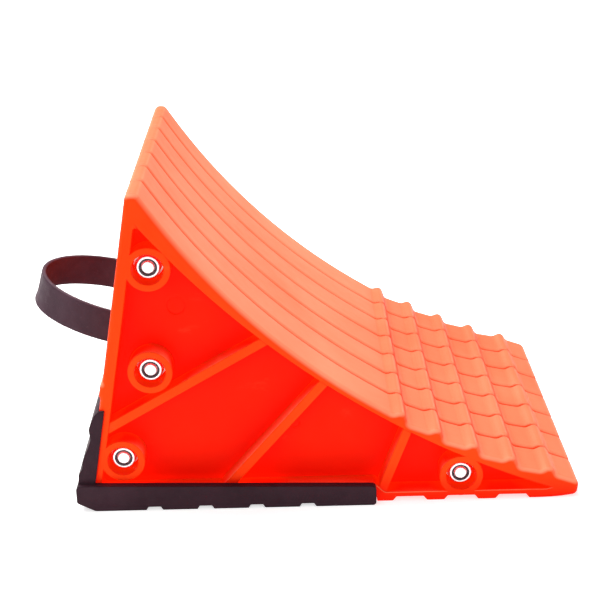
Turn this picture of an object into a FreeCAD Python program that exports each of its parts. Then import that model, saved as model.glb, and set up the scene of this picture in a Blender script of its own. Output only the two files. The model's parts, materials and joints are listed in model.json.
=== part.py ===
import FreeCAD, Part
import math
import os
import sys

import Sketcher
from FreeCAD import Placement, Rotation, Vector

# Wheel chock: seven identical moulded ribs bolted side by side, a rubber shoe under the heel
# and a rubber carrying loop on the middle bolt.
# Profiles are drawn in a heel frame: x runs from heel to toe, z up from the ground. The part's
# own frame has x = 0 half way along the object, y = 0 half way across it and z = 0 on the ground.

DIMENSIONS = {
    # moulded segment
    "segment_count": 7,
    "segment_width": 28,
    "web_thickness": 4,
    "rim_edge_radius": 3,
    "heel_x": -2.5,
    "rear_lean": 10,
    "crown_z": 180.2,
    "toe_x": 270,
    "shoe_step_x": 157,
    "tyre_radius": 389,
    "tyre_x": 363.4,
    "tyre_z": 388.1,
    "crown_angle": -146.6,
    "wave_count": 5,
    "wave_first_angle": -119.8,
    "wave_step_angle": 3.32,
    "wave_crest": 3,
    "wave_crest_radius": 3.2,
    "lug_pitch": 28.5,
    "lug_width": 9.5,
    "lug_count": 3,
    "lug_depth": 2.5,
    "rear_rim": 6.6,
    "bead_radius": 3.4,
    "mouth_radius": 0.6,
    "pocket_radius": 504,
    "pocket_x": 425,
    "pocket_z": 480,
    "pocket_top": 162.6,
    "pocket_floor_shoe": 10,
    "pocket_floor_toe": 5.2,
    "rib_width": 5,
    "rib_inset": 0.8,
    "boss_radius": 12,
    "counterbore_radius": 8.5,
    "bolt_hole_radius": 4.3,
    "relief_depth": 1.6,
    "relief_radius": 13.5,
    "pilot_radius": 1.75,
    "pilot_offset": 7,
    "pilot_depth": 7.6,
    "ejector_radius": 2.5,
    "gate_radius": 5,
    "mark_depth": 0.4,
    # through bolts
    "bolt_radius": 4,
    "bolt_length": 182,
    "hex_flats": 13,
    "bolt_head": 5.3,
    "bolt_tip_chamfer": 1,
    "washer_radius": 8,
    "washer_bore": 4.2,
    "washer_thickness": 1.6,
    "nut_hex": 4.9,
    "nut_height": 6.5,
    "nut_collar_radius": 6.2,
    "nut_lip_radius": 0.6,
    "nut_bore": 4.08,
    "insert_radius": 4.9,
    "insert_height": 1.8,
    "insert_recess": 0.3,
    # carrying loop
    "loop_half_width": 42,
    "loop_straight": 38.7,
    "loop_thickness": 2.6,
    "loop_height": 19,
    "loop_drop": 2.6,
    "loop_tilt": 15.7,
    "loop_lift": 20,
    "eyelet_radius": 10.5,
    "eyelet_bore": 4.05,
    # rubber shoe
    "shoe_heel_x": -8,
    "shoe_pad": 4.5,
    "shoe_side": 4.5,
    "shoe_lip_heel": 15.5,
    "shoe_lip_front": 11.5,
    "shoe_rear_z": 59,
    "tread_start": 30,
    "tread_pitch": 28.2,
    "tread_notch": 9.2,
    "tread_depth": 2,
    "tread_count": 4,
    "screw_radius": 1.7,
    "screw_length": 9.2,
    "screw_head_radius": 4.2,
    "screw_head": 1.8,
    "screw_well_radius": 5,
    "screw_well": 2.4,
}

# Bolt axes in the heel frame, and the place of each rib's centre line.
BOLTS = {"top": (37.9, 139.2), "middle": (36.0, 80.8), "heel": (18.3, 28.2), "toe": (204.2, 14.4)}
RIBS = {
    "long": ((8.5, 46.0), (99.0, 98.0)),
    "middle": ((73.5, 8.8), (131.0, 74.6)),
    "toe": ((159.4, 3.4), (175.0, 45.0)),
}
SCREW_ROWS_X = (20.0, 77.0, 141.0)
SCREW_COLUMNS = {1: 1, 3: 1, 5: -1, 7: -1}
# Moulding marks on the web's near face: an ejector pin's circle and the gate's circle.
MARKS = {"ejector_radius": (113.1, 43.1), "gate_radius": (50.7, 114.2)}
STRAP_RELIEF = {2: 1, 3: -1, 5: 1, 6: -1}

doc = FreeCAD.newDocument("wheel_chock")
sheet = doc.addObject("Spreadsheet::Sheet", "dims")
for row, (name, number) in enumerate(DIMENSIONS.items(), start=1):
    sheet.set(f"A{row}", name)
    sheet.set(f"B{row}", str(number))
    sheet.setAlias(f"B{row}", name)
doc.recompute()


def dim(name):
    return float(sheet.get(name))


def bind(feature, path, expression):
    feature.setExpression(path, expression)


# ---------------------------------------------------------------- sketch helpers


def new_body(label):
    body = doc.addObject("PartDesign::Body", label)
    body.Label = label
    return body


def new_sketch(body, name, plane, offset=0.0):
    """An empty sketch on one of the body's own origin planes, offset along the plane's normal."""
    role = f"{plane}_Plane"
    support = [f for f in body.Origin.OriginFeatures if f.Role == role][0]
    sketch = body.newObject("Sketcher::SketchObject", name)
    sketch.AttachmentSupport = [(support, "")]
    sketch.MapMode = "FlatFace"
    sketch.AttachmentOffset = Placement(Vector(0, 0, offset), Rotation())
    return sketch


def round_corner(before, corner, after, radius):
    """Start, middle and end of the arc that rounds a corner."""
    to_before = (before - corner).normalize()
    to_after = (after - corner).normalize()
    half = to_before.getAngle(to_after) / 2
    reach = radius / math.tan(half)
    bisector = (to_before + to_after).normalize()
    centre = corner + bisector * (radius / math.sin(half))
    return corner + to_before * reach, centre - bisector * radius, corner + to_after * reach


def draw_path(sketch, corners, closed=True):
    """Lines between (x, y, radius) corners, each rounded by its radius."""
    points = [Vector(x, y, 0) for x, y, _ in corners]
    count = len(points)
    pieces = []
    for i, (x, y, radius) in enumerate(corners):
        end_of_open_path = not closed and i in (0, count - 1)
        if radius > 0 and not end_of_open_path:
            pieces.append(round_corner(points[i - 1], points[i], points[(i + 1) % count], radius))
        else:
            pieces.append((points[i], None, points[i]))
    for i, (start, middle, end) in enumerate(pieces):
        if middle is not None:
            sketch.addGeometry(Part.Arc(start, middle, end))
        if closed or i < count - 1:
            following = pieces[(i + 1) % count][0]
            if end.distanceToPoint(following) > 1e-6:
                sketch.addGeometry(Part.LineSegment(end, following))


def draw_circle(sketch, x, y, radius_name):
    """A circle whose radius is bound to a cell of the sheet."""
    index = sketch.addGeometry(Part.Circle(Vector(x, y, 0), Vector(0, 0, 1), dim(radius_name)))
    constraint = sketch.addConstraint(Sketcher.Constraint("Radius", index, dim(radius_name)))
    bind(sketch, f"Constraints[{constraint}]", f"dims.{radius_name}")


def pad(body, sketch, name, length, symmetric=True, reverse=False):
    feature = body.newObject("PartDesign::Pad", name)
    feature.Profile = sketch
    bind(feature, "Length", length)
    feature.SideType = "Symmetric" if symmetric else "One side"
    feature.Reversed = reverse
    return feature


def pocket(body, sketch, name, length=None, symmetric=False, reverse=False):
    feature = body.newObject("PartDesign::Pocket", name)
    feature.Profile = sketch
    if length is None:
        feature.Type = "ThroughAll"
    else:
        bind(feature, "Length", length)
    feature.SideType = "Symmetric" if symmetric else "One side"
    feature.Reversed = reverse
    return feature


def fillet(body, base, name, chooser, radius_name):
    """Rounds the edges of the base feature that the chooser picks."""
    doc.recompute()
    names = [f"Edge{i}" for i, edge in enumerate(base.Shape.Edges, start=1) if chooser(edge)]
    if not names:
        sys.exit(f"{body.Label}: {name} found no edge")
    feature = body.newObject("PartDesign::Fillet", name)
    feature.Base = (base, names)
    bind(feature, "Radius", f"dims.{radius_name}")
    doc.recompute()
    return feature


def on_circle(edge, x, z, radius):
    return (
        isinstance(edge.Curve, Part.Circle)
        and abs(edge.Curve.Radius - radius) < 1e-4
        and abs(edge.Curve.Center.x - x) < 1e-3
        and abs(edge.Curve.Center.z - z) < 1e-3
    )


# ---------------------------------------------------------------- segment profile

LEAN = math.tan(math.radians(dim("rear_lean")))


def rear_x(z):
    """The rear wall's outer x at a height."""
    return dim("heel_x") + LEAN * (z - dim("shoe_pad"))


def tyre_point(angle, outward=0.0):
    """A point on the tyre face circle, moved towards the tyre by outward."""
    a = math.radians(angle)
    r = dim("tyre_radius") - outward
    return dim("tyre_x") + r * math.cos(a), dim("tyre_z") + r * math.sin(a)


def wave_corners():
    """Grip waves: each rises to a narrow crest and falls more steeply on the toe side."""
    per_degree = math.radians(1) * dim("tyre_radius")
    crest = dim("wave_crest")
    round_top = dim("wave_crest_radius")
    shape = ((-4.6, -0.1, 4.0), (-1.3, crest, round_top), (1.3, crest, round_top), (6.0, -1.5, 4.0))
    corners = []
    for i in range(int(dim("wave_count"))):
        centre = dim("wave_first_angle") + i * dim("wave_step_angle")
        for along, outward, radius in shape:
            if i == dim("wave_count") - 1 and along > 5:
                continue
            corners.append((*tyre_point(centre + along / per_degree, outward), radius))
    return corners


def bottom_corners():
    """Toe sole, its lugs and the step up over the shoe, from toe to heel."""
    slope = 2.0
    corner = 0.8
    depth = dim("lug_depth")
    step = dim("shoe_step_x")
    corners = []
    for k in reversed(range(int(dim("lug_count")))):
        lug = step + k * dim("lug_pitch")
        recess_end = lug + dim("lug_pitch")
        lug_end = lug + dim("lug_width")
        corners += [
            (recess_end, 0, corner),
            (recess_end - slope, depth, corner),
            (lug_end + slope, depth, corner),
            (lug_end, 0, corner),
        ]
    corners += [(step + 0.8, 0, 0.5), (step, dim("shoe_pad"), 0)]
    return corners


def rear_corners():
    """Rear wall with one raised horizontal bead."""
    bead = ((65.0, 0.0), (67.0, 1.1), (73.0, 1.1), (75.0, 0.0))
    heel = (dim("heel_x"), dim("shoe_pad"), 0)
    return [heel] + [(rear_x(z) - proud, z, dim("bead_radius")) for z, proud in bead]


def draw_outline(sketch):
    """The closed outer profile of a segment."""
    start = tyre_point(dim("crown_angle"))
    a = math.radians(dim("crown_angle"))
    to_crown = (dim("crown_z") - start[1]) / -math.cos(a)
    crown_front = start[0] - to_crown * -math.sin(a)
    end_angle = dim("wave_first_angle") - 1.5
    end = tyre_point(end_angle)
    toe = dim("toe_x")
    last_wave = dim("wave_first_angle") + (dim("wave_count") - 1) * dim("wave_step_angle")
    last_foot = tyre_point(last_wave + 0.72, -0.3)
    corners = [(*end, 0)] + wave_corners()
    corners += [(*last_foot, 3.5), (toe + 0.2, 9.0, 4.2), (toe - 0.8, 0.7, 3.2), (toe - 5.5, 0, 0)]
    corners += bottom_corners() + rear_corners()
    corners += [(rear_x(dim("crown_z")), dim("crown_z"), 3.6), (crown_front, dim("crown_z"), 3.6)]
    corners += [(*start, 0)]
    draw_path(sketch, corners, closed=False)
    middle = tyre_point((dim("crown_angle") + end_angle) / 2)
    sketch.addGeometry(Part.Arc(*[Vector(x, z, 0) for x, z in (start, middle, end)]))


def pocket_point(z):
    """A point on the inner circle under the tyre face, at a height."""
    drop = dim("pocket_z") - z
    return dim("pocket_x") - math.sqrt(dim("pocket_radius") ** 2 - drop**2), z


def draw_pocket_outline(sketch):
    """The side pocket's outline, inside the rim."""
    inner = dim("rear_rim")
    floor_shoe = dim("pocket_floor_shoe")
    floor_toe = dim("pocket_floor_toe")
    top = dim("pocket_top")
    start = pocket_point(top)
    end = pocket_point(floor_toe + 0.6)
    corners = [
        (*end, 0),
        (end[0] - 2.2, floor_toe, 3),
        (dim("shoe_step_x") + 5, floor_toe, 3),
        (dim("shoe_step_x"), floor_shoe, 3),
        (rear_x(floor_shoe) + inner, floor_shoe, 3),
        (rear_x(top + 3.2) + inner, top + 3.2, 1.2),
        (*start, 0),
    ]
    draw_path(sketch, corners, closed=False)
    middle = pocket_point((top + floor_toe) / 2)
    sketch.addGeometry(Part.Arc(*[Vector(x, z, 0) for x, z in (start, middle, end)]))


def draw_rib(sketch, ends):
    """A straight rib, drawn as a rectangle along its centre line."""
    (x0, z0), (x1, z1) = ends
    length = math.hypot(x1 - x0, z1 - z0)
    across_x = -(z1 - z0) / length * dim("rib_width") / 2
    across_z = (x1 - x0) / length * dim("rib_width") / 2
    corners = [
        (x0 + across_x, z0 + across_z, 0),
        (x1 + across_x, z1 + across_z, 0),
        (x1 - across_x, z1 - across_z, 0),
        (x0 - across_x, z0 - across_z, 0),
    ]
    draw_path(sketch, corners)


def is_shoulder_edge(edge):
    """Edges where the outer profile meets a side face, from the heel over the crown to the nose."""
    box = edge.BoundBox
    side = dim("segment_width") / 2
    in_side_face = abs(abs(box.YMin) - side) < 1e-4 and box.YLength < 1e-4
    middle = edge.valueAt((edge.FirstParameter + edge.LastParameter) / 2)
    return in_side_face and (middle.z > dim("pocket_floor_toe") or middle.x > dim("toe_x") - 4.5)


def mouth_edges(shape):
    """Edges around the side pockets' mouths, on both side faces."""
    side = dim("segment_width") / 2
    edges = []
    for face in shape.Faces:
        box = face.BoundBox
        if box.YLength < 1e-4 and abs(abs(box.YMin) - side) < 1e-4:
            mouths = [wire for wire in face.Wires if not wire.isSame(face.OuterWire)]
            edges += [edge for wire in mouths for edge in wire.Edges]
    return edges


# ---------------------------------------------------------------- segments


def relieve_strap(body, side):
    """Lowers the middle boss and opens the rear rim on one face, for the loop's strap."""
    plane_offset = -side * dim("segment_width") / 2
    sketch = new_sketch(body, "strap_boss_relief", "XZ", plane_offset)
    x, z = BOLTS["middle"]
    draw_circle(sketch, x, z, "relief_radius")
    reverse = side > 0
    pocket(body, sketch, "strap_boss_pocket", "dims.relief_depth", reverse=reverse)
    sketch = new_sketch(body, "strap_slot_relief", "XZ", plane_offset)
    low, high = slot_heights()
    wall = dim("rear_rim") + 4
    corners = [
        (rear_x(low) - 4, low, 0),
        (rear_x(low) + wall, low, 0),
        (rear_x(high) + wall, high, 0),
        (rear_x(high) - 4, high, 0),
    ]
    draw_path(sketch, corners)
    pocket(body, sketch, "strap_slot_pocket", "dims.relief_depth", reverse=reverse)


def slot_heights():
    """Lowest and highest z of the slot that the strap needs in the rear wall."""
    x, z = BOLTS["middle"]
    outer = x - rear_x(z)
    inner = outer - dim("rear_rim")
    half = dim("loop_height") / 2
    down = math.radians(dim("loop_tilt"))
    up = math.radians(dim("loop_tilt") + dim("loop_lift"))
    drop = dim("loop_drop")
    low = z + inner * math.tan(down) - (half + drop) / math.cos(down)
    high = z + (outer + 4) * math.tan(up) + (half - drop) / math.cos(up)
    return low - 1.0, high + 1.0


def mark_web(body):
    """Shallow moulding marks in the web's near face."""
    sketch = new_sketch(body, "mark_circles", "XZ", dim("web_thickness") / 2)
    for radius_name, (x, z) in MARKS.items():
        draw_circle(sketch, x, z, radius_name)
    pocket(body, sketch, "moulding_marks", "dims.mark_depth")


def make_segment(number):
    label = f"segment_{number}"
    body = new_body(label)
    half = dim("segment_width") / 2

    sketch = new_sketch(body, "outline", "XZ")
    draw_outline(sketch)
    blank = pad(body, sketch, "blank", "dims.segment_width")
    rounded = fillet(body, blank, "shoulders", is_shoulder_edge, "rim_edge_radius")
    uncut = rounded.Shape.Volume

    depth = "(dims.segment_width - dims.web_thickness) / 2"
    for side, reverse in ((-1, False), (1, True)):
        face = "near" if side < 0 else "far"
        sketch = new_sketch(body, f"pocket_outline_{face}", "XZ", -side * half)
        draw_pocket_outline(sketch)
        cut = pocket(body, sketch, f"side_pocket_{face}", depth, reverse=reverse)
        doc.recompute()
        if cut.Shape.Volume > uncut - 1000:
            sys.exit(f"{label}: the {face} pocket cut nothing")
        uncut = cut.Shape.Volume
    mouths = mouth_edges(cut.Shape)

    def is_mouth_edge(edge):
        return any(edge.isSame(other) for other in mouths)

    fillet(body, cut, "pocket_mouths", is_mouth_edge, "mouth_radius")

    sketch = new_sketch(body, "boss_circles", "XZ")
    for x, z in BOLTS.values():
        draw_circle(sketch, x, z, "boss_radius")
    pad(body, sketch, "bosses", "dims.segment_width")

    sketch = new_sketch(body, "rib_lines", "XZ")
    draw_rib(sketch, RIBS["long"])
    draw_rib(sketch, RIBS["middle"])
    draw_rib(sketch, RIBS["toe"])
    pad(body, sketch, "ribs", "dims.segment_width - 2 * dims.rib_inset")

    for side, reverse in ((-1, False), (1, True)):
        face = "near" if side < 0 else "far"
        sketch = new_sketch(body, f"counterbore_{face}", "XZ", -side * half)
        for x, z in BOLTS.values():
            draw_circle(sketch, x, z, "counterbore_radius")
        pocket(body, sketch, f"counterbores_{face}", depth, reverse=reverse)

    sketch = new_sketch(body, "hole_circles", "XZ")
    for x, z in BOLTS.values():
        draw_circle(sketch, x, z, "bolt_hole_radius")
    pocket(body, sketch, "bolt_holes", "dims.segment_width", symmetric=True)
    mark_web(body)

    if number in STRAP_RELIEF:
        relieve_strap(body, STRAP_RELIEF[number])
    if number in SCREW_COLUMNS:
        sketch = new_sketch(body, "pilot_circles", "XY", dim("shoe_pad"))
        for x in SCREW_ROWS_X:
            draw_circle(sketch, x, SCREW_COLUMNS[number] * dim("pilot_offset"), "pilot_radius")
        pocket(body, sketch, "pilot_holes", "dims.pilot_depth", reverse=True)
    doc.recompute()
    return body


segments = [make_segment(n) for n in range(1, int(dim("segment_count")) + 1)]

# ---------------------------------------------------------------- through bolts

NEAR_WEB = -(dim("segment_count") * dim("segment_width") - dim("segment_width")) / 2
NEAR_SEAT = NEAR_WEB - dim("web_thickness") / 2
FAR_SEAT = -NEAR_SEAT


def hexagon(sketch, flats_name):
    """A regular hexagon across its flats, centred on the sketch's origin."""
    corner = dim(flats_name) / 2 / math.cos(math.radians(30))
    turn = [math.radians(60 * k) for k in range(6)]
    draw_path(sketch, [(corner * math.cos(a), corner * math.sin(a), 0) for a in turn])


def crown_hex(body, flats_name, length, reverse):
    """Turns the corners off a hexagon's outer end with a revolved cut, as a rolled head has."""
    corner = dim(flats_name) / 2 / math.cos(math.radians(30))
    flat = dim(flats_name) / 2
    sign = -1 if reverse else 1
    sketch = new_sketch(body, "crown_profile", "XY")
    drop = (corner - flat) * math.tan(math.radians(30)) + 0.25
    top = sign * length
    corners = [(flat - 0.35, top, 0), (corner + 1, top, 0), (corner + 1, top - sign * (drop + 0.6), 0)]
    draw_path(sketch, corners)
    groove = body.newObject("PartDesign::Groove", "crown")
    groove.Profile = sketch
    groove.ReferenceAxis = (sketch, ["V_Axis"])
    groove.Angle = 360
    return groove


def make_bolt(name):
    """Hex bolt with its head on the far side. Its own origin is under the head."""
    body = new_body(f"bolt_{name}")
    sketch = new_sketch(body, "shank_circle", "XZ")
    draw_circle(sketch, 0, 0, "bolt_radius")
    pad(body, sketch, "shank", "dims.bolt_length", symmetric=False)
    sketch = new_sketch(body, "head_hexagon", "XZ")
    hexagon(sketch, "hex_flats")
    pad(body, sketch, "head", "dims.bolt_head", symmetric=False, reverse=True)
    crown_hex(body, "hex_flats", dim("bolt_head"), reverse=False)
    doc.recompute()
    end = -dim("bolt_length")
    chamfer_tip(body, end)
    doc.recompute()
    x, z = BOLTS[name]
    body.Placement = Placement(Vector(x, FAR_SEAT + dim("washer_thickness"), z), Rotation())
    return body


def chamfer_tip(body, end):
    """Chamfers the shank's end."""
    base = body.Tip
    names = [
        f"Edge{i}"
        for i, edge in enumerate(base.Shape.Edges, start=1)
        if isinstance(edge.Curve, Part.Circle) and abs(edge.Curve.Center.y - end) < 1e-4
    ]
    feature = body.newObject("PartDesign::Chamfer", "tip")
    feature.Base = (base, names)
    feature.Size = dim("bolt_tip_chamfer")


def make_nut(name):
    """Locking nut: hexagon, round collar and a groove that holds a nylon ring."""
    body = new_body(f"nut_{name}")
    sketch = new_sketch(body, "nut_hexagon", "XZ")
    hexagon(sketch, "hex_flats")
    pad(body, sketch, "hexagon", "dims.nut_hex", symmetric=False)
    crown_hex(body, "hex_flats", dim("nut_hex"), reverse=True)
    sketch = new_sketch(body, "collar_circle", "XZ")
    draw_circle(sketch, 0, 0, "nut_collar_radius")
    collar = pad(body, sketch, "collar", "dims.nut_height", symmetric=False)
    top = -dim("nut_height")

    def is_collar_top(edge):
        return on_circle(edge, 0, 0, dim("nut_collar_radius")) and abs(edge.Curve.Center.y - top) < 1e-4

    doc.recompute()
    names = [f"Edge{i}" for i, edge in enumerate(collar.Shape.Edges, start=1) if is_collar_top(edge)]
    rolled = body.newObject("PartDesign::Fillet", "rolled_lip")
    rolled.Base = (collar, names)
    rolled.Radius = dim("nut_lip_radius")
    doc.recompute()
    sketch = new_sketch(body, "thread_circle", "XZ", dim("nut_height"))
    draw_circle(sketch, 0, 0, "nut_bore")
    pocket(body, sketch, "thread_bore")
    sketch = new_sketch(body, "insert_circle", "XZ", dim("nut_height"))
    draw_circle(sketch, 0, 0, "insert_radius")
    pocket(body, sketch, "insert_seat", "dims.insert_height + dims.insert_recess")
    doc.recompute()
    x, z = BOLTS[name]
    body.Placement = Placement(Vector(x, NEAR_SEAT - dim("washer_thickness"), z), Rotation())
    return body


bolts = [make_bolt(name) for name in BOLTS]
nuts = [make_nut(name) for name in BOLTS]


def ring_tool(name, outer, bore, height):
    """A parametric ring that the fastener groups copy."""
    disc = doc.addObject("Part::Cylinder", f"{name}_disc")
    bind(disc, "Radius", f"dims.{outer}")
    bind(disc, "Height", f"dims.{height}")
    hole = doc.addObject("Part::Cylinder", f"{name}_hole")
    bind(hole, "Radius", f"dims.{bore}")
    bind(hole, "Height", f"dims.{height}")
    ring = doc.addObject("Part::Cut", f"{name}_ring")
    ring.Base = disc
    ring.Tool = hole
    doc.recompute()
    return ring.Shape.copy()


def make_group(label, solid, places, rotation):
    """One node that holds a copy of the solid at each place."""
    copies = []
    for place in places:
        copy = solid.copy()
        copy.Placement = Placement(Vector(*place), rotation)
        copies.append(copy)
    group = doc.addObject("Part::Feature", label)
    group.Label = label
    group.Shape = Part.makeCompound(copies)
    return group


ALONG_MINUS_Y = Rotation(Vector(1, 0, 0), 90)
washer = ring_tool("washer", "washer_radius", "washer_bore", "washer_thickness")
insert = ring_tool("insert", "insert_radius", "nut_bore", "insert_height")
near_washers = [(x, NEAR_SEAT, z) for x, z in BOLTS.values()]
far_washers = [(x, FAR_SEAT + dim("washer_thickness"), z) for x, z in BOLTS.values()]
nut_face_y = NEAR_SEAT - dim("washer_thickness") - dim("nut_height")
insert_y = nut_face_y + dim("insert_recess") + dim("insert_height")
insert_places = [(x, insert_y, z) for x, z in BOLTS.values()]
groups = [
    make_group("washers_nut_side", washer, near_washers, ALONG_MINUS_Y),
    make_group("washers_head_side", washer, far_washers, ALONG_MINUS_Y),
    make_group("nylon_rings", insert, insert_places, ALONG_MINUS_Y),
]

# ---------------------------------------------------------------- rubber shoe

OVERALL_WIDTH = dim("segment_count") * dim("segment_width")


def make_shoe():
    """Tread pad under the heel with a lip along both sides and a stepped rear wall."""
    body = new_body("rubber_shoe")
    heel = dim("shoe_heel_x")
    front = dim("shoe_step_x")
    slope = 1.2
    notches = []
    for k in range(int(dim("tread_count"))):
        start = dim("tread_start") + k * dim("tread_pitch")
        stop = start + dim("tread_notch")
        depth = dim("tread_depth")
        notches += [(start, 0, 0.6), (start + slope, depth, 0.8)]
        notches += [(stop - slope, depth, 0.8), (stop, 0, 0.6)]
    sketch = new_sketch(body, "tread_outline", "XZ")
    corners = [(heel, 5.2, 1.6), (2.0, 0, 3)]
    corners += notches
    corners += [
        (front, 0, 1.8),
        (front, dim("shoe_lip_front"), 2.4),
        (heel, dim("shoe_lip_heel"), 2.4),
    ]
    draw_path(sketch, corners)
    pad(body, sketch, "tread", "dims.segment_count * dims.segment_width + 2 * dims.shoe_side")

    sketch = new_sketch(body, "rear_wall_profile", "XZ")
    top = dim("shoe_rear_z")
    steps = (
        (7.0, heel + 0.4, 1.0),
        (21.0, heel + 1.6, 1.4),
        (24.5, heel + 3.8, 1.4),
        (31.0, heel + 4.9, 2.5),
        (36.5, heel + 7.6, 2.5),
        (42.0, heel + 9.6, 3.0),
        (48.5, heel + 9.0, 4.0),
        (56.0, heel + 12.2, 3.0),
    )
    corners = [(x, z, radius) for z, x, radius in steps]
    corners += [(rear_x(top), top, 0.8), (rear_x(top) + 3, top, 0), (rear_x(7.0) + 3, 7.0, 0)]
    draw_path(sketch, corners)
    pad(body, sketch, "rear_wall", "dims.segment_count * dims.segment_width + 2 * 1.2")

    sketch = new_sketch(body, "nest_profile", "XZ")
    bottom = dim("shoe_pad")
    high = dim("shoe_rear_z") + 10
    corners = [
        (rear_x(bottom), bottom, 0),
        (front + 20, bottom, 0),
        (front + 20, high, 0),
        (rear_x(high), high, 0),
    ]
    draw_path(sketch, corners)
    pocket(body, sketch, "nest", "dims.segment_count * dims.segment_width", symmetric=True)
    doc.recompute()

    sketch = new_sketch(body, "well_circles", "XY")
    through = new_sketch(body, "screw_hole_circles", "XY")
    for x, y in screw_places():
        draw_circle(sketch, x, y, "screw_well_radius")
        draw_circle(through, x, y, "pilot_radius")
    pocket(body, sketch, "screw_wells", "dims.screw_well", reverse=True)
    pocket(body, through, "screw_holes", "dims.shoe_pad", reverse=True)
    doc.recompute()
    return body


def screw_places():
    """Heel-frame x and y of the screws that hold the shoe."""
    places = []
    middle = (dim("segment_count") + 1) / 2
    for number, side in SCREW_COLUMNS.items():
        y = (number - middle) * dim("segment_width") + side * dim("pilot_offset")
        places += [(x, y) for x in SCREW_ROWS_X]
    return places


def screw_solid():
    """A low-headed self-tapping screw that points up, from z = 0 under its head."""
    shank = Part.makeCylinder(dim("screw_radius"), dim("screw_length") - 2)
    tip = Part.makeCone(dim("screw_radius"), 0.4, 2, Vector(0, 0, dim("screw_length") - 2))
    head = Part.makeCylinder(dim("screw_head_radius"), dim("screw_head"), Vector(0, 0, -dim("screw_head")))
    rim = [e for e in head.Edges if isinstance(e.Curve, Part.Circle) and e.Curve.Center.z < -0.1]
    head = head.makeFillet(0.8, rim)
    arm = 2.6
    slot = 0.8
    cross = Part.makeBox(arm * 2, slot, 1.1, Vector(-arm, -slot / 2, -dim("screw_head")))
    other = Part.makeBox(slot, arm * 2, 1.1, Vector(-slot / 2, -arm, -dim("screw_head")))
    solid = shank.fuse([tip, head]).cut(cross.fuse(other))
    return solid.removeSplitter()


shoe = make_shoe()
screw_seats = [(x, y, dim("screw_well")) for x, y in screw_places()]
groups.append(make_group("shoe_screws", screw_solid(), screw_seats, Rotation()))

# ---------------------------------------------------------------- carrying loop


def make_loop():
    """Flat rubber strap bent into a U, with an eyelet at each end on the middle bolt."""
    body = new_body("carry_loop")
    half = dim("loop_half_width")
    thick = dim("loop_thickness") / 2
    straight = dim("loop_straight")
    sketch = new_sketch(body, "loop_plan", "XY", -dim("loop_drop"))
    for radius in (half - thick, half + thick):
        near_end = Vector(-straight, -radius, 0)
        far_end = Vector(-straight, radius, 0)
        sketch.addGeometry(Part.Arc(near_end, Vector(-straight - radius, 0, 0), far_end))
    for side in (-1, 1):
        outer = side * (half + thick)
        inner = side * (half - thick)
        sketch.addGeometry(Part.LineSegment(Vector(-straight, outer, 0), Vector(0, outer, 0)))
        sketch.addGeometry(Part.LineSegment(Vector(0, outer, 0), Vector(0, inner, 0)))
        sketch.addGeometry(Part.LineSegment(Vector(0, inner, 0), Vector(-straight, inner, 0)))
    pad(body, sketch, "strap", "dims.loop_height")

    for side in (-1, 1):
        word = "near" if side < 0 else "far"
        outer_face = -side * (half + thick)
        sketch = new_sketch(body, f"eyelet_{word}_circle", "XZ", outer_face)
        draw_circle(sketch, 0, 0, "eyelet_radius")
        pad(body, sketch, f"eyelet_{word}", "dims.loop_thickness", symmetric=False, reverse=side < 0)
    sketch = new_sketch(body, "eyelet_bore_circle", "XZ")
    draw_circle(sketch, 0, 0, "eyelet_bore")
    pocket(body, sketch, "eyelet_bores", "3 * dims.loop_half_width", symmetric=True)
    doc.recompute()
    x, z = BOLTS["middle"]
    body.Placement = Placement(Vector(x, 0, z), Rotation(Vector(0, 1, 0), dim("loop_tilt")))
    return body


loop = make_loop()

# ---------------------------------------------------------------- placing and writing

tilt = math.radians(dim("loop_tilt"))
loop_reach = (dim("loop_straight") + dim("loop_half_width") + dim("loop_thickness") / 2) * math.cos(tilt)
loop_reach += (dim("loop_height") / 2 - dim("loop_drop")) * math.sin(tilt)
loop_end = BOLTS["middle"][0] - loop_reach
toe_end = segments[0].Shape.optimalBoundingBox(False).XMax
TO_CENTRE = Vector(-(loop_end + toe_end) / 2, 0, 0)

middle_segment = (dim("segment_count") + 1) / 2
for number, body in enumerate(segments, start=1):
    body.Placement = Placement(Vector(0, (number - middle_segment) * dim("segment_width"), 0), Rotation())

parts = segments + bolts + nuts + groups + [shoe, loop]
for piece in parts:
    piece.Placement = Placement(piece.Placement.Base + TO_CENTRE, piece.Placement.Rotation)
doc.recompute()

problems = [o.Name for o in doc.Objects if "Invalid" in o.State or "Error" in o.State]
for piece in parts:
    if piece.Shape.isNull() or not piece.Shape.isValid():
        problems.append(f"{piece.Label} shape")
if problems:
    sys.exit("failed: " + ", ".join(problems))

os.makedirs("parts", exist_ok=True)
for piece in parts:
    piece.Shape.exportStep(f"parts/{piece.Label}.step")
    print(piece.Label, "solids", len(piece.Shape.Solids), "volume", round(piece.Shape.Volume))
print("heel frame moved by", round(TO_CENTRE.x, 3), "mm in x")
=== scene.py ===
import json
import math

import bmesh
import bpy
from mathutils import Matrix, Vector


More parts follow.
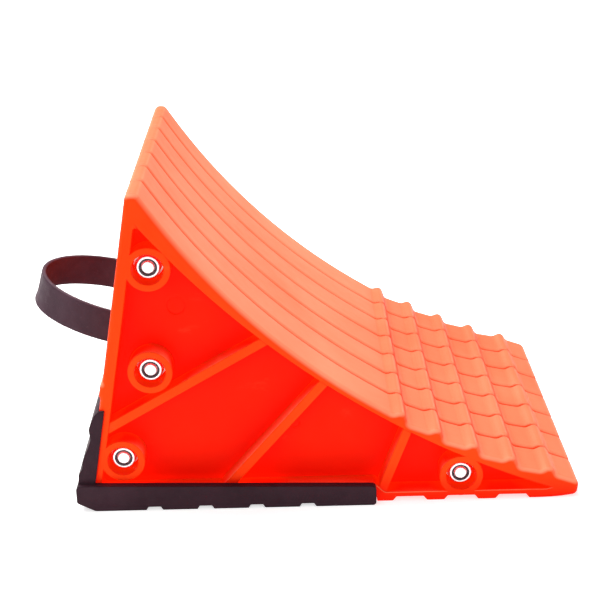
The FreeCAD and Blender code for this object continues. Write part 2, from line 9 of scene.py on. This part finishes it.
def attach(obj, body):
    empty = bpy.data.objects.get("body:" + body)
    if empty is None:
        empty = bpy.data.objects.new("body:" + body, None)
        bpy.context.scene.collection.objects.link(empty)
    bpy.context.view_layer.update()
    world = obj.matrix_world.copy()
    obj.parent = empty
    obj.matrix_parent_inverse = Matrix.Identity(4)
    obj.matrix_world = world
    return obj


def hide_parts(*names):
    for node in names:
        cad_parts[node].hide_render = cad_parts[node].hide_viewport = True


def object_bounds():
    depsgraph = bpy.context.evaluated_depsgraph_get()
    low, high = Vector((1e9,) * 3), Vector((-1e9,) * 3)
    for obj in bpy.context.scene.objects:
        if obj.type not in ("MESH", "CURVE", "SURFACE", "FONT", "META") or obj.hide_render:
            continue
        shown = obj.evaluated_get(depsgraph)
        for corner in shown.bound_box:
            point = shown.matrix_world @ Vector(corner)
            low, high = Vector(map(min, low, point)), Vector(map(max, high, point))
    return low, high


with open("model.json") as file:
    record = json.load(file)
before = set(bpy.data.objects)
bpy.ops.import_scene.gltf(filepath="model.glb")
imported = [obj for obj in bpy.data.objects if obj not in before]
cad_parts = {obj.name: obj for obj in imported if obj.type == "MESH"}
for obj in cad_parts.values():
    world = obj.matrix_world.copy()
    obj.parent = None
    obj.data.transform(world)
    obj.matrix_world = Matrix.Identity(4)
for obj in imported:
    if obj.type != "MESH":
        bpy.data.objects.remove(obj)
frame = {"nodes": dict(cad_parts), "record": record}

MM = 0.001
SEGMENT_WIDTH = 0.028
WHITE = (1, 1, 1, 1)
cad_box = [list(corner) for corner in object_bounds()]


# ------------------------------------------------------------------ node helpers


class Nodes:
    """Short names for building one material's node tree."""

    def __init__(self, name):
        self.material = bpy.data.materials.new(name)
        self.material.use_nodes = True
        self.tree = self.material.node_tree
        self.shader = self.tree.nodes["Principled BSDF"]
        coordinates = self.tree.nodes.new("ShaderNodeTexCoord")
        self.place = coordinates.outputs["Object"]

    def link(self, source, target):
        self.tree.links.new(source, target)

    def noise(self, scale, detail=4.0, roughness=0.55, distortion=0.0, place=None):
        node = self.tree.nodes.new("ShaderNodeTexNoise")
        node.inputs["Scale"].default_value = scale
        node.inputs["Detail"].default_value = detail
        node.inputs["Roughness"].default_value = roughness
        node.inputs["Distortion"].default_value = distortion
        self.link(place or self.place, node.inputs["Vector"])
        return node.outputs["Fac"]

    def stretched(self, x, y, z):
        node = self.tree.nodes.new("ShaderNodeMapping")
        node.inputs["Scale"].default_value = (x, y, z)
        self.link(self.place, node.inputs["Vector"])
        return node.outputs["Vector"]

    def cells(self, scale):
        node = self.tree.nodes.new("ShaderNodeTexVoronoi")
        node.inputs["Scale"].default_value = scale
        self.link(self.place, node.inputs["Vector"])
        return node.outputs["Distance"]

    def ramp(self, source, stops):
        """stops: (position, colour or grey level)."""
        node = self.tree.nodes.new("ShaderNodeValToRGB")
        elements = node.color_ramp.elements
        while len(elements) < len(stops):
            elements.new(0.5)
        for element, (position, colour) in zip(elements, stops):
            element.position = position
            grey = isinstance(colour, (int, float))
            element.color = (colour, colour, colour, 1) if grey else (*colour, 1)
        self.link(source, node.inputs["Fac"])
        return node.outputs["Color"]

    def mix(self, factor, first, second):
        node = self.tree.nodes.new("ShaderNodeMix")
        node.data_type = "RGBA"
        for name, value in (("Factor_Float", factor), ("A_Color", first), ("B_Color", second)):
            socket = next(socket for socket in node.inputs if socket.identifier == name)
            if isinstance(value, bpy.types.NodeSocket):
                self.link(value, socket)
            elif isinstance(value, (int, float)):
                socket.default_value = value
            else:
                socket.default_value = (*value, 1)
        return node.outputs[2]

    def maths(self, operation, first, second=0.0):
        node = self.tree.nodes.new("ShaderNodeMath")
        node.operation = operation
        for socket, value in zip(node.inputs, (first, second)):
            if isinstance(value, bpy.types.NodeSocket):
                self.link(value, socket)
            else:
                socket.default_value = value
        return node.outputs["Value"]

    def bump(self, height, distance, strength=1.0, under=None):
        node = self.tree.nodes.new("ShaderNodeBump")
        node.inputs["Distance"].default_value = distance
        node.inputs["Strength"].default_value = strength
        self.link(height, node.inputs["Height"])
        if under is not None:
            self.link(under, node.inputs["Normal"])
        return node.outputs["Normal"]

    def soft_edges(self, radius):
        """Normals that round the sharp edges by a radius in metres."""
        node = self.tree.nodes.new("ShaderNodeBevel")
        node.samples = 6
        node.inputs["Radius"].default_value = radius
        return node.outputs["Normal"]

    def openness(self, reach):
        """1 on open faces, towards 0 in pockets and joints less than reach wide."""
        node = self.tree.nodes.new("ShaderNodeAmbientOcclusion")
        node.samples = 8
        node.inputs["Distance"].default_value = reach
        return node.outputs["AO"]

    def part_of(self, vector, axis):
        split = self.tree.nodes.new("ShaderNodeSeparateXYZ")
        self.link(vector, split.inputs["Vector"])
        return split.outputs[axis]

    def facing(self, axis):
        """One part of the shading normal."""
        geometry = self.tree.nodes.new("ShaderNodeNewGeometry")
        return self.part_of(geometry.outputs["Normal"], axis)

    def finish(self, colour, roughness, normal, **constants):
        self.link(colour, self.shader.inputs["Base Color"])
        self.link(roughness, self.shader.inputs["Roughness"])
        self.link(normal, self.shader.inputs["Normal"])
        for name, value in constants.items():
            self.shader.inputs[name.replace("_", " ")].default_value = value
        return self.material


# ------------------------------------------------------------------ materials

# Reaches of the ambient occlusion that drives the painted shade in the pockets and in the joints.
POCKET_REACH = 0.024
JOINT_REACH = 0.008
# Turns a distance in metres from the web's middle into a ramp position.
WEB_SCALE = 60


def orange_plastic():
    """Satin polypropylene: dark red painted shade in the pockets, a pale painted sheen and scuffs where
    it faces up, and darker painted shade in the joints between segments.

    A faint painted glow in the deepest corners lifts their shade; it stands for the light that comes
    through the thin walls.
    """
    n = Nodes("orange_plastic")
    # Ambient occlusion drives painted shade: the rim mask is 0 in pockets, which take the dark red
    # pocket tone.
    openness = n.openness(POCKET_REACH)
    rim_mask = n.ramp(openness, ((0.42, 0.0), (0.95, 1.0)))
    # Painted sheen: open faces that look up are mixed towards a pale tone for the white reflection of
    # the light from above.
    top_mask = n.ramp(n.facing("Z"), ((0.14, 0.0), (0.56, 1.0), (0.80, 0.95), (0.97, 0.60)))
    painted_sheen_mask = n.maths("MULTIPLY", top_mask, n.ramp(openness, ((0.55, 0.0), (0.85, 1.0))))
    flow = n.noise(14, 3, 0.5, 0.6)
    # Three tones of one plastic: dark red painted shade, the rim's own orange, and a pale painted
    # sheen.
    pocket_shade = n.ramp(flow, ((0.3, (0.92, 0.0035, 0.0001)), (0.7, (0.98, 0.0065, 0.0002))))
    rim = n.ramp(flow, ((0.3, (0.98, 0.042, 0.002)), (0.7, (1.0, 0.056, 0.004))))
    sheen_tone = n.ramp(flow, ((0.3, (0.98, 0.190, 0.094)), (0.7, (0.99, 0.240, 0.130))))
    # Painted shade on the recessed webs: faces turned sideways near each segment's middle plane take
    # the dark red tone.
    across = n.maths("PINGPONG", n.part_of(n.place, "Y"), SEGMENT_WIDTH / 2)
    from_web = n.maths("MULTIPLY", across, WEB_SCALE)
    sideways = n.ramp(n.maths("ABSOLUTE", n.facing("Y")), ((0.55, 0.0), (0.90, 0.85)))
    web_shade_mask = n.maths("MULTIPLY", sideways, n.ramp(from_web, ((0.20, 1.0), (0.60, 0.0))))
    sides = n.mix(web_shade_mask, n.mix(rim_mask, pocket_shade, rim), pocket_shade)
    base = n.mix(painted_sheen_mask, sides, sheen_tone)
    scuffs = n.noise(90, 6, 0.7, 0.4, n.stretched(0.35, 1.0, 1.0))
    scuff_mask = n.ramp(scuffs, ((0.62, 0.0), (0.80, 0.14)))
    scuffed = n.mix(n.maths("MULTIPLY", scuff_mask, rim_mask), base, (1.0, 0.24, 0.10))
    # Painted shade in the grooves between segments: narrow ambient occlusion darkens the upward faces
    # there.
    groove_shade_mask = n.ramp(n.openness(JOINT_REACH), ((0.40, 0.95), (0.90, 0.0)))
    upward = n.ramp(n.facing("Z"), ((0.05, 0.0), (0.30, 1.0)))
    colour = n.mix(n.maths("MULTIPLY", groove_shade_mask, upward), scuffed, (0.66, 0.045, 0.002))
    roughness = n.ramp(n.noise(160, 4), ((0.3, 0.42), (0.7, 0.54)))
    # Painted glow: emission in the most occluded corners lifts their shade.
    glow = n.ramp(openness, ((0.05, (0.60, 0.008, 0.0003)), (0.60, (0.0, 0.0, 0.0))))
    n.link(glow, n.shader.inputs["Emission Color"])
    rounded = n.soft_edges(0.0011)
    grain = n.bump(n.cells(1500), 0.00008, 0.35, rounded)
    ripple = n.bump(n.noise(45, 2), 0.0006, 0.22, grain)
    return n.finish(colour, roughness, ripple, Specular_IOR_Level=0.04, Emission_Strength=1.0)


def moulded_rubber(name, dark, light, grain_size):
    """Stippled rubber with a dusty bloom between its dark and light tones."""
    n = Nodes(name)
    bloom = n.noise(26, 5, 0.6, 0.3)
    base = n.ramp(bloom, ((0.35, dark), (0.72, light)))
    dust = n.ramp(n.noise(420, 3, 0.7), ((0.60, 0.0), (0.80, 0.35)))
    dusty = tuple(min(1.0, 1.9 * c) for c in light)
    colour = n.mix(dust, base, dusty)
    roughness = n.ramp(n.noise(200, 4), ((0.3, 0.50), (0.7, 0.66)))
    rounded = n.soft_edges(0.0012)
    stipple = n.bump(n.cells(1 / grain_size), 0.00012, 0.5, rounded)
    waves = n.bump(n.noise(70, 3), 0.0004, 0.3, stipple)
    return n.finish(colour, roughness, waves, Specular_IOR_Level=0.16)


def zinc_steel():
    """Zinc-plated steel with a fine spangle."""
    n = Nodes("zinc_steel")
    spangle = n.noise(700, 5, 0.6)
    colour = n.ramp(spangle, ((0.3, (0.70, 0.69, 0.71)), (0.7, (0.92, 0.92, 0.93))))
    roughness = n.ramp(n.noise(900, 4), ((0.3, 0.24), (0.7, 0.40)))
    rounded = n.soft_edges(0.0004)
    turned = n.bump(n.noise(2600, 2, 0.5, 0.0, n.stretched(1, 0.1, 1)), 0.00003, 0.4, rounded)
    return n.finish(colour, roughness, turned, Metallic=1.0)


def dark_nylon():
    """The dark rings in the locking nuts."""
    n = Nodes("dark_nylon")
    colour = n.ramp(n.noise(500), ((0.3, (0.030, 0.008, 0.014)), (0.7, (0.065, 0.020, 0.030))))
    roughness = n.ramp(n.noise(800), ((0.3, 0.38), (0.7, 0.52)))
    return n.finish(colour, roughness, n.bump(n.noise(3000), 0.00004, 0.4))


def floor_card():
    """White studio paper that glows a little, so that it stays pale far from the lamps."""
    n = Nodes("floor_card")
    colour = n.ramp(n.noise(6, 3), ((0.3, 0.68), (0.7, 0.71)))
    roughness = n.ramp(n.noise(30), ((0.3, 0.85), (0.7, 0.95)))
    glow = n.ramp(n.noise(4, 2), ((0.3, 0.96), (0.7, 1.0)))
    n.link(glow, n.shader.inputs["Emission Color"])
    fibre = n.bump(n.noise(900, 3), 0.00005, 0.3)
    return n.finish(colour, roughness, fibre, Emission_Strength=0.62, Specular_IOR_Level=0.1)


SHOE_TONES = ((0.019, 0.0050, 0.010), (0.034, 0.0100, 0.018))
LOOP_TONES = ((0.038, 0.015, 0.024), (0.070, 0.036, 0.050))
MATERIALS = {
    "orange_plastic": orange_plastic(),
    "shoe_rubber": moulded_rubber("shoe_rubber", *SHOE_TONES, 0.0009),
    "loop_rubber": moulded_rubber("loop_rubber", *LOOP_TONES, 0.0006),
    "zinc_steel": zinc_steel(),
    "nylon": dark_nylon(),
}


def dress_frame():
    """Gives every CAD node that stays its own material."""
    for row in frame["record"]["subparts"]:
        if row["node"] == "carry_loop":
            continue
        node = frame["nodes"][row["node"]]
        node.data.materials.clear()
        node.data.materials.append(MATERIALS[row["material_slot"]])


# ------------------------------------------------------------------ carrying loop

# Lengths in millimetres from the bolt's axis.
BEND_START = 26
BEND_REACH = 47.5
HALF_WIDTH = 42
TAB_END = 7.5
TAB_BLEND = 9
TAB_HALF_HEIGHT = 6
TAB_GROWTH = 3.6
STRAP_DROP = 2.6
STRAP_CORNER = 0.9
FLARE = 0.9
FLARE_START = 45
EYELET = 10.3
EYELET_HALF_WIDTH = 1.3
EYELET_CORNER = 0.5
HALF_THICKNESS = 1.25
BORE = 4.05
REST_TILT = 15.7


def strap_stations(count):
    """Plan points of the loop's centre line: straight sides and half an ellipse between them."""
    side = [TAB_END + (BEND_START - TAB_END) * k / 14 for k in range(14)]
    bend = []
    for k in range(count + 1):
        a = math.pi / 2 - math.pi * k / count
        bend.append((BEND_START + BEND_REACH * math.cos(a), -HALF_WIDTH * math.sin(a)))
    return [(s, -HALF_WIDTH) for s in side] + bend + [(s, HALF_WIDTH) for s in reversed(side)]


def smooth(value, start, stop):
    """Eases from 0 at start to 1 at stop."""
    t = min(1.0, max(0.0, (value - start) / (stop - start)))
    return t * t * (3 - 2 * t)


def rounded_outline(half_width, half_height, corner, side_steps):
    """A rounded rectangle as (across, up) points, with its upright sides cut into side_steps."""
    points = []
    for quarter, (sx, sz) in enumerate(((1, 1), (-1, 1), (-1, -1), (1, -1))):
        for k in range(5):
            a = math.radians(90 * quarter + 22.5 * k)
            across = sx * (half_width - corner) + corner * math.cos(a)
            points.append((across, sz * (half_height - corner) + corner * math.sin(a)))
        if quarter in (1, 3):
            for k in range(1, side_steps):
                points.append((sx * half_width, sz * (half_height - corner) * (1 - 2 * k / side_steps)))
    return points


def strap_mesh(mesh):
    """Sweeps the section round the loop, with a flared lower edge at the end of the bend."""
    stations = strap_stations(64)
    rings = []
    for i, (s, y) in enumerate(stations):
        before = stations[max(0, i - 1)]
        after = stations[min(len(stations) - 1, i + 1)]
        along = Vector((after[0] - before[0], after[1] - before[1]))
        out = Vector((along.y, -along.x)).normalized()
        tab = smooth(s, TAB_END, TAB_END + TAB_BLEND)
        half_height = TAB_HALF_HEIGHT + TAB_GROWTH * tab
        drop = STRAP_DROP * tab
        far_end = smooth(s, FLARE_START, BEND_START + BEND_REACH)
        ring = []
        for across, up in rounded_outline(HALF_THICKNESS, half_height, STRAP_CORNER, 8):
            lower = max(0.0, -up / half_height)
            across += FLARE * far_end * lower**3
            ring.append(mesh.verts.new((-s - out.x * across, y + out.y * across, up - drop)))
        rings.append(ring)
    for first, second in zip(rings, rings[1:]):
        for k in range(len(first)):
            j = (k + 1) % len(first)
            mesh.faces.new((first[k], first[j], second[j], second[k]))
    mesh.faces.new(list(reversed(rings[0])))
    mesh.faces.new(rings[-1])


def eyelet_mesh(mesh, y):
    """A ring with rounded rims round the bolt."""
    middle = (BORE + EYELET) / 2
    outline = rounded_outline(EYELET - middle, EYELET_HALF_WIDTH, EYELET_CORNER, 1)
    profile = [(middle + r, h) for r, h in outline]
    turns = 48
    rings = []
    for k in range(turns):
        a = 2 * math.pi * k / turns
        rings.append([mesh.verts.new((r * math.cos(a), y + h, r * math.sin(a))) for r, h in profile])
    for k in range(turns):
        first, second = rings[k], rings[(k + 1) % turns]
        for m in range(len(profile)):
            n = (m + 1) % len(profile)
            mesh.faces.new((first[m], first[n], second[n], second[m]))


def add_strap():
    """The rubber loop, built flat about the bolt and then tilted to its rest angle."""
    joint = frame["record"]["behaviour"]["joints"][0]
    tilt = math.radians(REST_TILT)
    mesh = bmesh.new()
    strap_mesh(mesh)
    for side in (-1, 1):
        eyelet_mesh(mesh, side * HALF_WIDTH)
    bmesh.ops.recalc_face_normals(mesh, faces=mesh.faces)
    at_bolt = Matrix.Translation(Vector(joint["pos_m"]))
    place = at_bolt @ Matrix.Rotation(tilt, 4, "Y") @ Matrix.Scale(MM, 4)
    bmesh.ops.transform(mesh, matrix=place, verts=mesh.verts)
    data = bpy.data.meshes.new("rubber_strap")
    mesh.to_mesh(data)
    mesh.free()
    for face in data.polygons:
        face.use_smooth = True
    strap = bpy.data.objects.new("rubber_strap", data)
    bpy.context.scene.collection.objects.link(strap)
    data.materials.append(MATERIALS["loop_rubber"])
    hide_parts("carry_loop")
    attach(strap, "loop")


# ------------------------------------------------------------------ stage


def add_floor():
    """A wide, flat, pale floor at the height of the soles."""
    bpy.ops.mesh.primitive_plane_add(size=12, location=(0, 0, cad_box[0][2]))
    floor = bpy.context.object
    floor.name = "floor"
    floor.data.materials.append(floor_card())


def add_light(name, place, target, size, power):
    light = bpy.data.lights.new(name, "AREA")
    light.shape = "RECTANGLE"
    light.size, light.size_y = size
    light.energy = power
    lamp = bpy.data.objects.new(name, light)
    lamp.location = place
    lamp.rotation_euler = (Vector(target) - Vector(place)).to_track_quat("-Z", "Y").to_euler()
    bpy.context.scene.collection.objects.link(lamp)


def add_lights():
    centre = (0, 0, 0.06)
    add_light("overhead", (-0.40, 0.40, 1.3), centre, (1.2, 1.0), 42)
    add_light("front", (-0.7, -1.7, 0.8), centre, (1.3, 0.9), 8)
    add_light("right", (1.5, -0.7, 0.5), centre, (0.9, 0.9), 4)
    world = bpy.data.worlds.new("studio")
    world.use_nodes = True
    background = world.node_tree.nodes["Background"]
    background.inputs["Color"].default_value = WHITE
    background.inputs["Strength"].default_value = 0.40
    bpy.context.scene.world = world


def add_camera():
    """Looks along +Y from above the near side, 21 degrees down and rolled by one degree."""
    place = Vector((0.3, -791.0, 389.1)) * MM
    yaw, pitch, roll = 0.0097, 0.3731, -0.0181
    ahead = math.cos(pitch)
    forward = Vector((math.sin(yaw) * ahead, math.cos(yaw) * ahead, -math.sin(pitch)))
    level = Vector((math.cos(yaw), -math.sin(yaw), 0))
    upright = level.cross(forward)
    right = math.cos(roll) * level + math.sin(roll) * upright
    up = -math.sin(roll) * level + math.cos(roll) * upright
    camera = bpy.data.cameras.new("camera")
    camera.sensor_width = 36
    camera.lens = 83.6
    camera.clip_start = 0.01
    holder = bpy.data.objects.new("camera", camera)
    turn = Matrix((right, up, -forward)).transposed()
    holder.matrix_world = Matrix.Translation(place) @ turn.to_4x4()
    bpy.context.scene.collection.objects.link(holder)
    bpy.context.scene.camera = holder


dress_frame()
add_strap()
add_floor()
add_lights()
add_camera()
bpy.context.scene.view_settings.view_transform = "Standard"
